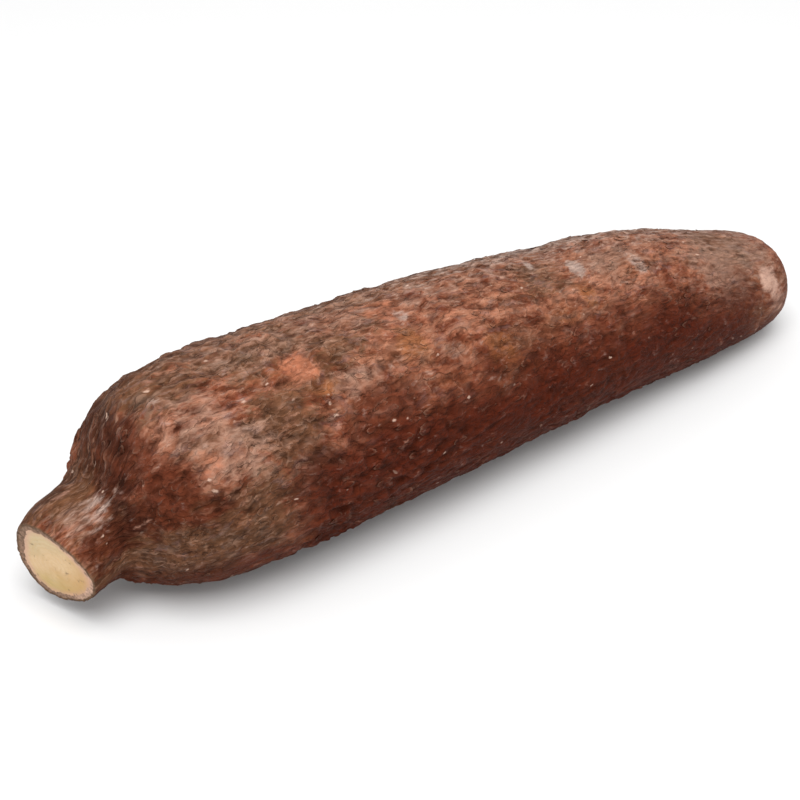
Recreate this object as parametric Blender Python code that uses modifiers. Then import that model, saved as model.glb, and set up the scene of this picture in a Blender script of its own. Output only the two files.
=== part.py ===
"""A whole cassava root, lying on its side as it was cut from the plant.

The root runs along X: the cut neck is at -X and the blunt growing tip at +X. It is one solid, made as a
coarse cage of rings with a Subdivision Surface. A cut along the underside gives it the two narrow flats
on which it lies, under the belly and near the tip. Units are metres and +Z is up.
"""

import math
from typing import NamedTuple

import bmesh
import bpy
from mathutils import Matrix, Vector

# Driving dimensions
LENGTH = 0.280           # from the cut to the tip, to within a millimetre
BELLY_RADIUS = 0.0325    # at the thickest place, just behind the neck's shoulder
NECK_RADIUS = 0.0133     # at the cut
WIDENING = 1.03          # a section is this much wider than it is high
CUT_TURN = math.radians(18)   # the cut face looks this far round from -X towards -Y
CUT_DIP = math.radians(9.5)   # and this far down

# The cage
SIDES = 12               # corners of each ring
SMOOTHING = 2            # levels of subdivision
RING_SHRINK = (2 + math.cos(2 * math.pi / SIDES)) / 3   # smoothed radius over cage radius

# The root isn't round: two slow lobes wander about it as they run to the tip
LOBES = (
    # corners, share of the radius, phase, turns of phase along the root
    (2, 0.012, 0.8, 0.9),
    (3, 0.014, -1.1, -0.7),
)
# and its neck is rather three-cornered where it was cut
NECK_LOBE = (3, 0.125, 2.93)   # corners, share of the radius, phase

BARK_COLOUR = (0.233, 0.085, 0.047, 1.0)
BARK_ROUGHNESS = 0.72


class Station(NamedTuple):
    """One ring of the cage: where its centre is, how big it is and how far it is slanted."""

    along: float     # share of LENGTH, from the neck's end
    side: float      # the centre's shift along Y, in metres
    height: float    # the centre's height over the ground, in belly radii
    radius: float    # in belly radii
    neck: float      # 1 at the cut, 0 on the body: how far it leans and is shaped as the cut is


NECK = NECK_RADIUS / BELLY_RADIUS

STATIONS = (
    Station(0.0164, 0.0026, 0.566, NECK * 1.00, 1.0),
    Station(0.0330, 0.0042, 0.624, NECK * 1.06, 1.0),
    Station(0.0520, 0.0053, 0.650, NECK * 1.09, 0.8),
    Station(0.0720, 0.0054, 0.664, NECK * 1.12, 0.4),
    Station(0.0880, 0.0051, 0.791, 0.662, 0.1),
    Station(0.1120, 0.0030, 0.957, 0.842, 0.0),
    Station(0.1520, 0.0004, 0.995, 0.968, 0.0),
    Station(0.2100, 0.0000, 0.998, 0.997, 0.0),
    Station(0.2950, 0.0000, 0.972, 0.976, 0.0),
    Station(0.3950, 0.0000, 0.950, 0.960, 0.0),
    Station(0.5000, 0.0002, 0.929, 0.917, 0.0),
    Station(0.6100, 0.0005, 0.878, 0.848, 0.0),
    Station(0.7100, 0.0010, 0.826, 0.797, 0.0),
    Station(0.8000, 0.0009, 0.747, 0.741, 0.0),
    Station(0.8800, 0.0002, 0.620, 0.644, 0.0),
    Station(0.9420, 0.0002, 0.542, 0.568, 0.0),
    Station(0.9800, 0.0000, 0.497, 0.478, 0.0),
    Station(0.9985, 0.0000, 0.494, 0.280, 0.0),
)


def clear_scene() -> None:
    """Removes every object that the scene starts with."""
    for item in list(bpy.data.objects):
        bpy.data.objects.remove(item)


def new_collection(name: str) -> bpy.types.Collection:
    """A new collection in the scene, with this name."""
    collection = bpy.data.collections.new(name)
    bpy.context.scene.collection.children.link(collection)
    return collection


def principled(name: str, colour: tuple, roughness: float) -> bpy.types.Material:
    """A plain Principled BSDF material."""
    material = bpy.data.materials.new(name)
    material.use_nodes = True
    shader = material.node_tree.nodes["Principled BSDF"]
    shader.inputs["Base Color"].default_value = colour
    shader.inputs["Roughness"].default_value = roughness
    return material


def lobed(angle: float, station: Station) -> float:
    """The radius at an angle round the root, over the ring's mean radius."""
    corners, share, phase = NECK_LOBE
    reach = 1 + station.neck * share * math.cos(corners * angle + phase)
    for corners, share, phase, turns in LOBES:
        reach += share * math.cos(corners * angle + phase + 2 * math.pi * turns * station.along)
    return reach


def ring_points(station: Station) -> list:
    """The corners of one cage ring: a lobed oval, slanted with the cut where the neck is."""
    centre = Vector((
        station.along * LENGTH,
        station.side,
        station.height * BELLY_RADIUS,
    ))
    slant = (
        Matrix.Rotation(CUT_TURN * station.neck, 3, "Z")
        @ Matrix.Rotation(-CUT_DIP * station.neck, 3, "Y")
    )
    radius = station.radius * BELLY_RADIUS / RING_SHRINK
    points = []
    for corner in range(SIDES):
        angle = 2 * math.pi * corner / SIDES
        reach = radius * lobed(angle, station)
        oval = Vector((0, WIDENING * reach * math.cos(angle), reach * math.sin(angle)))
        points.append(centre + slant @ oval)
    return points


def cage() -> bpy.types.Mesh:
    """The coarse cage: one circle drawn out from ring to ring, with both ends closed.

    The neck's end keeps a sharp edge round its cut, and the tip is left to round over.
    """
    shape = bmesh.new()
    crease = shape.edges.layers.float.new("crease_edge")
    bmesh.ops.create_circle(shape, segments=SIDES, radius=1, cap_ends=True)
    for edge in shape.edges:
        edge[crease] = 1.0
    ring = list(shape.verts)
    for number, station in enumerate(STATIONS):
        if number:
            edges = [shape.edges.get((a, b)) for a, b in zip(ring, ring[1:] + ring[:1])]
            drawn = bmesh.ops.extrude_edge_only(shape, edges=edges)["geom"]
            new = {v for v in drawn if isinstance(v, bmesh.types.BMVert)}
            for edge in drawn:
                if isinstance(edge, bmesh.types.BMEdge):
                    edge[crease] = 0.0
            ring = [
                next(e.other_vert(v) for e in v.link_edges if e.other_vert(v) in new)
                for v in ring
            ]
        for corner, point in zip(ring, ring_points(station)):
            corner.co = point
    shape.faces.new(ring)
    bmesh.ops.recalc_face_normals(shape, faces=shape.faces)
    mesh = bpy.data.meshes.new("cassava_root")
    shape.to_mesh(mesh)
    shape.free()
    return mesh


def ground_cutter(collection: bpy.types.Collection) -> bpy.types.Object:
    """A block whose top is the ground: what the root presses flat where it lies."""
    bpy.ops.mesh.primitive_cube_add(size=2 * LENGTH, location=(LENGTH / 2, 0, -LENGTH))
    block = bpy.context.object
    block.name = "ground_cutter"
    block.hide_render = True
    block.display_type = "WIRE"
    for owner in list(block.users_collection):
        owner.objects.unlink(block)
    collection.objects.link(block)
    return block


def root_object(collection: bpy.types.Collection, cutter: bpy.types.Object) -> bpy.types.Object:
    """The root: its cage, smoothed, with its underside cut by the ground."""
    root = bpy.data.objects.new("cassava_root", cage())
    collection.objects.link(root)
    root.data.materials.append(principled("cassava_bark", BARK_COLOUR, BARK_ROUGHNESS))
    root.data.shade_smooth()

    smooth = root.modifiers.new("smooth", "SUBSURF")
    smooth.levels = SMOOTHING
    smooth.render_levels = SMOOTHING

    flats = root.modifiers.new("flats", "BOOLEAN")
    flats.operation = "DIFFERENCE"
    flats.solver = "EXACT"
    flats.object = cutter
    return root


def centre_on_origin(*objects: bpy.types.Object) -> None:
    """Slides the objects level, until the first one's box is centred over the origin."""
    bpy.context.view_layer.update()
    shown = objects[0].evaluated_get(bpy.context.evaluated_depsgraph_get())
    corners = [shown.matrix_world @ Vector(corner) for corner in shown.bound_box]
    for axis in (0, 1):
        middle = (min(c[axis] for c in corners) + max(c[axis] for c in corners)) / 2
        for item in objects:
            item.location[axis] -= middle


def main() -> None:
    """Builds the root in an empty scene."""
    clear_scene()
    parts = new_collection("cassava_root")
    cutters = new_collection("cutters")
    ground = ground_cutter(cutters)
    root = root_object(parts, ground)
    centre_on_origin(root, ground)


main()
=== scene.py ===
"""The looks of a whole cassava root: flaking bark, a neck cut across its pale wood, and a plain studio.

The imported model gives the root's form. Rays measure it, and it is redrawn on a fine grid that carries the
bark's relief. Names that end in _mm hold millimetres; everything else is in metres, as the scene is.
"""

import logging
import math
from dataclasses import dataclass, field, replace
from enum import Enum

import bpy
import numpy as np
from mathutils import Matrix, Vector
from mathutils.bvhtree import BVHTree


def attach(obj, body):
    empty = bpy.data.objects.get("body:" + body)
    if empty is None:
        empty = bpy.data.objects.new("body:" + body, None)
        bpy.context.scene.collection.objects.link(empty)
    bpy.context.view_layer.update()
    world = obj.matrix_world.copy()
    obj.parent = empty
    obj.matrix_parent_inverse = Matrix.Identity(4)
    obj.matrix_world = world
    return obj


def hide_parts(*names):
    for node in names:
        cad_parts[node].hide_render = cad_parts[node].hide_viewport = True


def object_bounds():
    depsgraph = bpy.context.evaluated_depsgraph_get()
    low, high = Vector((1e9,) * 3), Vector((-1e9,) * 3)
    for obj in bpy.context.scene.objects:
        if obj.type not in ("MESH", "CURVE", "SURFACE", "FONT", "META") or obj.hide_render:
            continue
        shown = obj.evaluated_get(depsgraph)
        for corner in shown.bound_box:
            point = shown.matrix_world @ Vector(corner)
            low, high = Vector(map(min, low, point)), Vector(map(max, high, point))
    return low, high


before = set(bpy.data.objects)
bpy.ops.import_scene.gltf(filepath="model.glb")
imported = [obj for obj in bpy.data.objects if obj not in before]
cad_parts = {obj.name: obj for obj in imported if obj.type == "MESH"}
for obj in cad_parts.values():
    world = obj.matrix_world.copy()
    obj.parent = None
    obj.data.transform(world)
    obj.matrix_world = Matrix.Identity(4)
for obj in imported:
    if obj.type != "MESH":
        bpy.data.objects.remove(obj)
CAD_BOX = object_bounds()

Array = np.ndarray
Node = bpy.types.Node
Piece = bpy.types.Object
Socket = bpy.types.NodeSocket
Tree = bpy.types.NodeTree

MM = 0.001
TURN = 2 * math.pi
LOW, HIGH = np.array(CAD_BOX[0]), np.array(CAD_BOX[1])
ROOT_NODE = "cassava_root"
LOG = logging.getLogger("cassava")

# the steps that scatter whole-number cells into random numbers
CELL_STEPS = np.array([73856093, 19349663, 83492791])
SALT_STEP, FOLD_STEP, LOW_BITS = 2654435761, 0x45D9F3B, 0xFFFFFFFF
LAYER_FADE = 0.55    # a layer of noise's strength, over that of the layer before


# ---- colours and numbers


def linear(colour: str) -> tuple[float, float, float, float]:
    """Turns an sRGB hex colour into the linear colour that a shader takes.

    Args:
        colour: the colour as "#rrggbb".

    Returns:
        Its red, green, blue and an alpha of 1.
    """
    parts = [int(colour[i:i + 2], 16) / 255 for i in (1, 3, 5)]
    bright = [p / 12.92 if p <= 0.04045 else ((p + 0.055) / 1.055) ** 2.4 for p in parts]
    return (*bright, 1.0)


def smoothstep(low: float, high: float, value: Array) -> Array:
    """Eases from 0 at low to 1 at high, whichever is bigger: 3t^2 - 2t^3, where t is the share of the way."""
    share = np.clip((value - low) / (high - low), 0.0, 1.0)
    return share * share * (3.0 - 2.0 * share)


def bell(distance: Array, width: float) -> Array:
    """A bell curve: the exponential of minus the square of the distance in widths."""
    return np.exp(-(distance / width) ** 2)


def unit(vectors: Array) -> Array:
    """The vectors at length 1."""
    return vectors / np.maximum(np.linalg.norm(vectors, axis=-1, keepdims=True), 1e-12)


def run_along(points: Array) -> Array:
    """How far along a string of points each one is, or along the mean of several strings."""
    gap = np.linalg.norm(np.diff(points, axis=0), axis=-1)
    return np.concatenate([[0.0], np.cumsum(gap.reshape(len(gap), -1).mean(1))])


def lattice_random(cells: Array, salt: int) -> Array:
    """A repeatable random number for every whole-number cell.

    The cell's three numbers and the salt, each times a large odd number, are joined by exclusive or and
    then mixed twice, by folding the high bits down and multiplying again.

    Args:
        cells: whole numbers, with x, y and z on the last axis.
        salt: a number that makes one pattern differ from another.

    Returns:
        One number from 0 to 1 for each cell.
    """
    mixed = np.bitwise_xor.reduce(cells * CELL_STEPS, axis=-1)
    mixed = (mixed ^ salt * SALT_STEP) & LOW_BITS
    for _ in range(2):
        mixed = ((mixed ^ mixed >> 16) * FOLD_STEP) & LOW_BITS
    return (mixed ^ mixed >> 16) / (LOW_BITS + 1)


def value_noise(points: Array, salt: int) -> Array:
    """A lattice's random numbers, blended between its corners by the quintic 6t^5 - 15t^4 + 10t^3.

    Args:
        points: where it is read, one lattice step to the unit.
        salt: a number that makes one pattern differ from another.

    Returns:
        Smooth noise from -1 to 1.
    """
    base = np.floor(points).astype(np.int64)
    part = points - base
    ease = part ** 3 * (part * (part * 6 - 15) + 10)
    total = np.zeros(points.shape[:-1])
    for corner in np.ndindex(2, 2, 2):
        weight = np.prod(np.where(corner, ease, 1 - ease), axis=-1)
        total += weight * lattice_random(base + corner, salt)
    return 2 * total - 1


@dataclass(frozen=True)
class Noise:
    """Layers of noise, each half the size of the last and weaker. A finish draws them with nodes.

    Attributes:
        along_mm: the first layer's grain along the root.
        around_mm: the first layer's grain across it.
        layers: how many there are; a finish counts them from the second, and in fractions.
        salt: makes one pattern differ from another of its size.
        high: how far it reaches either way of 0, roughly.
    """

    along_mm: float
    around_mm: float
    layers: float = 1
    salt: float = 0
    high: float = 1.0

    def at(self, place: Array) -> Array:
        """Reads the noise.

        Args:
            place: places in millimetres.

        Returns:
            The noise at each place.
        """
        points = place / np.array([self.along_mm, self.around_mm, self.around_mm])
        total, strength, reach = 0.0, 1.0, 0.0
        for layer in range(self.layers):
            total = total + strength * value_noise(points * 2 ** layer, self.salt + layer)
            reach += strength
            strength *= LAYER_FADE
        return self.high * (total / reach)

    def shifts(self, place: Array, step: int) -> Array:
        """Three such noises for X, Y and Z, their salts a step apart."""
        return np.stack([replace(self, salt=self.salt + step * k).at(place) for k in range(3)], axis=-1)


def shingles(slow: Array, steps: float, rise: float) -> Array:
    """Makes overlapping sheets of a slow field: its contours are the sheets' raised edges.

    The share of the way from one contour to the next is taken from a rise that is over in its first part,
    so each sheet stands up steeply at its edge and sinks slowly towards the next.

    Args:
        slow: the field.
        steps: how many contours it has to the unit.
        rise: the part of the way in which the rise is over.

    Returns:
        Heights from about -1 to 0.5.
    """
    counted = slow * steps
    share = counted - np.floor(counted)
    return smoothstep(0.0, rise, share) - share - 0.2


def softened(grid: Array, cells: float) -> Array:
    """Blurs a grid both ways by a Gaussian, through its Fourier transform.

    Args:
        grid: the grid.
        cells: the Gaussian's standard deviation.

    Returns:
        The blurred grid.
    """
    rows = np.fft.fftfreq(grid.shape[0])[:, None]
    columns = np.fft.rfftfreq(grid.shape[1])[None, :]
    passed = np.exp(-2 * (math.pi * cells) ** 2 * (rows ** 2 + columns ** 2))
    return np.fft.irfft2(np.fft.rfft2(grid) * passed, s=grid.shape)


def inside_box(points: Array, margin_mm: Array | float = 0.0) -> Array:
    """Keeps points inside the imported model's box, and on or above its ground.

    Args:
        points: the points.
        margin_mm: how far inside. Layers that lie on one another differ, so they never meet.

    Returns:
        The points, moved where they were outside.
    """
    margin = np.asarray(margin_mm)[..., None] * MM
    return np.clip(points, LOW + margin * np.array([1.0, 1.0, 0.0]), HIGH - margin)


# ---- meshes and nodes


def grid_faces(rows: int, columns: int, around: bool = True) -> Array:
    """The quads of a grid of points, row by row.

    Args:
        rows: how many rows of points.
        columns: how many points in a row.
        around: whether each row closes on itself.

    Returns:
        Four point numbers for each face, turned so that column x row is the outward side.
    """
    last = columns if around else columns - 1
    row, column = np.meshgrid(np.arange(rows - 1), np.arange(last), indexing="ij")
    here, beside = row * columns + column, row * columns + (column + 1) % columns
    return np.stack([here, beside, beside + columns, here + columns], axis=-1).reshape(-1, 4)


def closed_tube(rings: Array, poles: list[Array], way: int = 1) -> tuple[Array, list[Array]]:
    """Closes a tube of rings onto a pole at each end.

    Args:
        rings: points by ring and column.
        poles: the point before the first ring, and the one after the last.
        way: 1 where column x row is the outward side, and -1 where it is the inward one.

    Returns:
        The points, with the two poles last, and the faces.
    """
    columns = rings.shape[1]
    count = len(rings) * columns
    column = np.arange(columns)
    beside = (column + 1) % columns
    first, last = np.full(columns, count), np.full(columns, count + 1)
    faces = [
        grid_faces(len(rings), columns),
        np.stack([first, beside, column], axis=-1),
        np.stack([last, column + count - columns, beside + count - columns], axis=-1),
    ]
    return np.concatenate([rings.reshape(-1, 3), poles]), [group[:, ::way] for group in faces]


def mesh_object(name: str, points: Array, faces: list[Array], channels: dict[str, Array]) -> Piece:
    """Makes a smooth-shaded mesh object from whole arrays.

    Args:
        name: the piece's name.
        points: the vertices, in metres.
        faces: arrays of faces, each with the same number of corners throughout.
        channels: point attributes, each one number or one vector to a point.

    Returns:
        The object, in the scene's own collection.
    """
    mesh = bpy.data.meshes.new(name)
    sizes = np.concatenate([np.full(len(group), group.shape[1]) for group in faces])
    corners = np.concatenate([group.ravel() for group in faces])
    mesh.vertices.add(len(points))
    mesh.vertices.foreach_set("co", points.astype(np.float32).ravel())
    mesh.loops.add(len(corners))
    mesh.loops.foreach_set("vertex_index", corners.astype(np.int32))
    mesh.polygons.add(len(sizes))
    mesh.polygons.foreach_set("loop_start", np.concatenate([[0], np.cumsum(sizes)[:-1]]).astype(np.int32))
    mesh.update(calc_edges=True)
    mesh.shade_smooth()
    for channel, values in channels.items():
        kind, key = ("FLOAT_VECTOR", "vector") if values.ndim == 2 else ("FLOAT", "value")
        flat = np.ascontiguousarray(values, dtype=np.float32).ravel()
        mesh.attributes.new(channel, kind, "POINT").data.foreach_set(key, flat)
    mesh.validate()
    piece = bpy.data.objects.new(name, mesh)
    bpy.context.scene.collection.objects.link(piece)
    return piece


def give(tree: Tree, node: Node, inputs: dict) -> None:
    """Gives a node its inputs.

    Args:
        tree: the node tree.
        node: the node.
        inputs: by name or number; a socket is linked, and anything else is the input's own value.
    """
    for key, value in inputs.items():
        if isinstance(value, Socket):
            tree.links.new(value, node.inputs[key])
        else:
            node.inputs[key].default_value = value


def add_node(tree: Tree, kind: str, inputs: dict | None = None, **settings: object) -> Node:
    """Adds a node, with its settings, its input values and its links.

    Args:
        tree: the node tree.
        kind: the node's type, without the "ShaderNode" that it begins with.
        inputs: as in give.
        settings: the node's own properties.

    Returns:
        The node.
    """
    node = tree.nodes.new("ShaderNode" + kind)
    for key, value in settings.items():
        setattr(node, key, value)
    give(tree, node, inputs or {})
    return node


def new_material(name: str) -> tuple[bpy.types.Material, Tree, Node]:
    """Makes a material with a Principled BSDF.

    Args:
        name: its name.

    Returns:
        The material, its tree and that shader.
    """
    material = bpy.data.materials.new(name)
    material.use_nodes = True
    return material, material.node_tree, material.node_tree.nodes["Principled BSDF"]


def coats(tree: Tree, colour: Socket | tuple, layers: list[tuple]) -> Socket:
    """Lays colours over one another.

    Args:
        tree: the node tree.
        colour: the ground's colour.
        layers: from the lowest up, the factors of how much shows, and then the hex colour.

    Returns:
        The finished colour.
    """
    for amount, *factors, over in layers:
        for factor in factors:
            amount = summed(tree, [(amount, factor)])
        mixed = add_node(tree, "Mix", {0: amount, 6: colour, 7: linear(over)}, data_type="RGBA")
        colour = mixed.outputs[2]
    return colour


def summed(tree: Tree, parts: list[tuple[Socket, Socket | float]], start: Socket | float = 0.0) -> Socket:
    """Adds up sockets, each times its own amount.

    Args:
        tree: the node tree.
        parts: each socket and its amount, which may be a socket too.
        start: what the parts are added to.

    Returns:
        The sum.
    """
    total = start
    for part, amount in parts:
        total = add_node(tree, "Math", {0: part, 1: amount, 2: total}, operation="MULTIPLY_ADD").outputs[0]
    return total


def eased(tree: Tree, value: Socket, low: float, high: float, top: float = 1.0) -> Socket:
    """A socket that eases from 0 where value is low to top where it is high, as smoothstep does."""
    inputs = {"Value": value, "From Min": low, "From Max": high, "To Max": top}
    return add_node(tree, "MapRange", inputs, interpolation_type="SMOOTHSTEP").outputs["Result"]


# ---- the root's form


@dataclass
class RootForm:
    """The root's smooth form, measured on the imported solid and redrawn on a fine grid.

    Rows run from the cut to the tip and columns run round the root, from +Y over the top. Over the last
    stretch the rays fan out from one point, so that the rows close on the tip.
    """

    rows: int = 372
    columns: int = 256
    ray_rows: int = 84
    fan_rows: int = 16
    ray_columns: int = 64
    knots: int = 26               # places along X at which the root's middle is found
    repeats: int = 3              # of the search for each middle, and of the smoothing of them all
    harmonics: int = 9            # of the outline round the root that are kept
    turn_mm: float = 34.0         # over which the rings turn from the cut's slant to square
    cut_mm: float = 10.0          # from the box's end, within which the cut's faces are looked for
    cut_facing: float = 0.85      # how squarely those faces look along -X, at least
    first_mm: float = 0.25        # from the cut to the first ring that is measured
    clear_mm: float = 12.0        # from the cut to the first knot
    fan_mm: float = 17.0          # from the point where the rays fan out to the tip
    cut_centre: Array = field(init=False)
    cut_out: Array = field(init=False)
    points: Array = field(init=False)
    normals: Array = field(init=False)
    along_mm: Array = field(init=False)
    angle: Array = field(init=False)
    radius_mm: Array = field(init=False)

    def __post_init__(self) -> None:
        """Measures the form."""
        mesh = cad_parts[ROOT_NODE].data
        mesh.calc_loop_triangles()
        corners = np.empty(len(mesh.vertices) * 3)
        mesh.vertices.foreach_get("co", corners)
        numbers = np.empty(len(mesh.loop_triangles) * 3, dtype=np.int64)
        mesh.loop_triangles.foreach_get("vertices", numbers)
        corners, numbers = corners.reshape(-1, 3), numbers.reshape(-1, 3)
        self._solid = BVHTree.FromPolygons(corners.tolist(), numbers.tolist())
        self._find_cut(corners[numbers])
        self._draw(self._measure())

    @property
    def x_mm(self) -> Array:
        """How far each point is from the box's neck end, along X."""
        return (self.points[..., 0] - LOW[0]) / MM

    @property
    def share(self) -> Array:
        """Each point's place along the box, from 0 at the neck's end to 1 at the tip."""
        return (self.points[..., 0] - LOW[0]) / (HIGH[0] - LOW[0])

    def turned_from(self, degrees: float) -> Array:
        """How far round the root each column is from this angle, in degrees from -180 to 180."""
        return np.remainder(np.degrees(self.angle) - degrees + 180, 360) - 180

    def _find_cut(self, triangles: Array) -> None:
        """Finds the flat cut: the mean place and normal of the neck end's faces that look along -X.

        Args:
            triangles: the solid's triangles, as three points each.
        """
        cross = np.cross(triangles[:, 1] - triangles[:, 0], triangles[:, 2] - triangles[:, 0])
        out, middle = unit(cross), triangles.sum(1) / 3
        flat = (middle[:, 0] < LOW[0] + self.cut_mm * MM) & (out[:, 0] < -self.cut_facing)
        weight = np.where(flat, np.linalg.norm(cross, axis=-1), 0.0)[:, None]
        self.cut_centre = (middle * weight).sum(0) / weight.sum()
        self.cut_out = unit((out * weight).sum(0))

    def _hit(self, start: Array, way: Array) -> Array:
        """Where a ray from inside the root leaves it."""
        place = self._solid.ray_cast(Vector(start), Vector(way))[0]
        return np.array(place if place is not None else start)

    def _middles(self, places: Array) -> Array:
        """Finds the root's middle by rays up, down and to both sides, over and over.

        Args:
            places: places along X.

        Returns:
            The middle at each place.
        """
        middle = self.cut_centre.copy()
        found = []
        for place in places:
            middle[0] = place
            for axis in (1, 2) * self.repeats:
                way = np.eye(3)[axis]
                both = self._hit(middle, way) + self._hit(middle, -way)
                middle[axis] = both[axis] / 2
            found.append(middle.copy())
        return np.array(found)

    def _measure(self) -> Array:
        """Casts rays in rings along the root, then fans them out over the tip.

        Returns:
            Points by row and column.
        """
        knots = np.linspace(self.cut_centre[0] + self.clear_mm * MM, HIGH[0] - self.fan_mm * MM, self.knots)
        middles = np.vstack([self.cut_centre, self._middles(knots)])
        for _ in range(self.repeats):
            middles[1:-1] = (middles[:-2] + 2 * middles[1:-1] + middles[2:]) / 4
        run = run_along(middles)
        at = np.linspace(self.first_mm * MM, run[-1], self.ray_rows)
        centres = np.stack([np.interp(at, run, middles[:, k]) for k in range(3)], axis=-1)
        turned = smoothstep(0.0, self.turn_mm * MM, at)[:, None]
        forward = unit((1 - turned) * -self.cut_out + turned * np.array([1.0, 0.0, 0.0]))
        side = unit(np.array([0.0, 1.0, 0.0]) - forward * forward[:, 1:2])
        up = np.cross(forward, side)
        angle = np.linspace(0, TURN, self.ray_columns, endpoint=False)[None, :, None]
        ring = side[:, None] * np.cos(angle) + up[:, None] * np.sin(angle)
        tube = [[self._hit(centre, way) for way in ways] for centre, ways in zip(centres, ring)]
        lift = np.linspace(0, math.pi / 2, self.fan_rows + 1)[1:]
        fan = [[self._hit(centres[-1], math.cos(t) * way + math.sin(t) * forward[-1]) for way in ring[-1]]
               for t in lift]
        return np.array(tube + fan)

    def _draw(self, measured: Array) -> None:
        """Redraws the measured rings as an even, smooth grid.

        Round the root only the first harmonics are kept, so the solid's facets vanish. Along it the rings
        are joined by cubic curves and set an even distance apart.

        Args:
            measured: points by row and column.
        """
        waves = np.fft.rfft(measured, axis=1)
        waves[:, self.harmonics + 1:] = 0
        smooth = np.fft.irfft(waves, n=self.columns, axis=1) * (self.columns / self.ray_columns)
        run = run_along(smooth)
        even = np.linspace(0, run[-1], self.rows)
        self.points = self._curve(run, smooth, even)
        self.along_mm = even / MM
        self.angle = np.linspace(0, TURN, self.columns, endpoint=False)
        middle = self.points.mean(1, keepdims=True)
        self.radius_mm = np.linalg.norm(self.points - middle, axis=-1).mean(1) / MM
        round_way = np.roll(self.points, -1, axis=1) - np.roll(self.points, 1, axis=1)
        self.normals = unit(np.cross(round_way, np.gradient(self.points, axis=0)))
        self.normals[-1] = unit(self.normals[-2].mean(0))

    @staticmethod
    def _curve(at: Array, values: Array, wanted: Array) -> Array:
        """Cubic Hermite curves, with each knot's slope taken from its two neighbours.

        Args:
            at: where the knots are.
            values: the rings at the knots.
            wanted: where the curves are read.

        Returns:
            A ring for each wanted place.
        """
        slope = np.gradient(values, at, axis=0)
        index = np.clip(np.searchsorted(at, wanted, side="right") - 1, 0, len(at) - 2)
        width = (at[index + 1] - at[index])[:, None, None]
        t = (wanted - at[index])[:, None, None] / width
        return ((2 * t ** 3 - 3 * t ** 2 + 1) * values[index]
                + (t ** 3 - 2 * t ** 2 + t) * width * slope[index]
                + (3 * t ** 2 - 2 * t ** 3) * values[index + 1]
                + (t ** 3 - t ** 2) * width * slope[index + 1])


# ---- the bark


class Mark(Enum):
    """The kinds of mark on the bark. Each is a point attribute of the same name that the finish reads."""

    SCUFF = "scuff"    # the paper-thin outer skin rubbed off, salmon beneath
    OCHRE = "ochre"    # thin skin with the yellow-orange cork showing through
    WAX = "wax"        # grey-white bloom of dried wax and dust; on what faces up, a painted sheen too
    DRY = "dry"        # dried, pinkish grey sheets; on what faces up, a painted sheen too
    RED = "red"        # unweathered red-brown skin; low along the body, a painted cast shadow too
    SOIL_AND_SHADE = "soil_and_shade"      # nearly black: soil stain, and painted shade in the neck's crease, low past the shoulder and along the far side
    DULL = "dull"      # weathered, olive grey-brown skin; the far top is drawn duller too
    SCAR = "scar"      # healed pale cork where the tail broke off
    TAN = "tan"        # worn skin, paler and browner
    UNDERSIDE_SHADE = "underside_shade"      # painted shade: the underside and the low body drawn darker and redder


@dataclass(frozen=True)
class Patch:
    """One mark: its kind, where it is and how big.

    Attributes:
        mark: its kind.
        share: its place along the root's box, from 0 at the neck's end to 1 at the tip.
        degrees: its place round the root, from +Y over the top, so that -Y is 180.
        long_mm: half its length along the root.
        wide_mm: half its width round the root.
        strength: how much of it shows.
    """

    mark: Mark
    share: float
    degrees: float
    long_mm: float
    wide_mm: float
    strength: float


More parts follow.
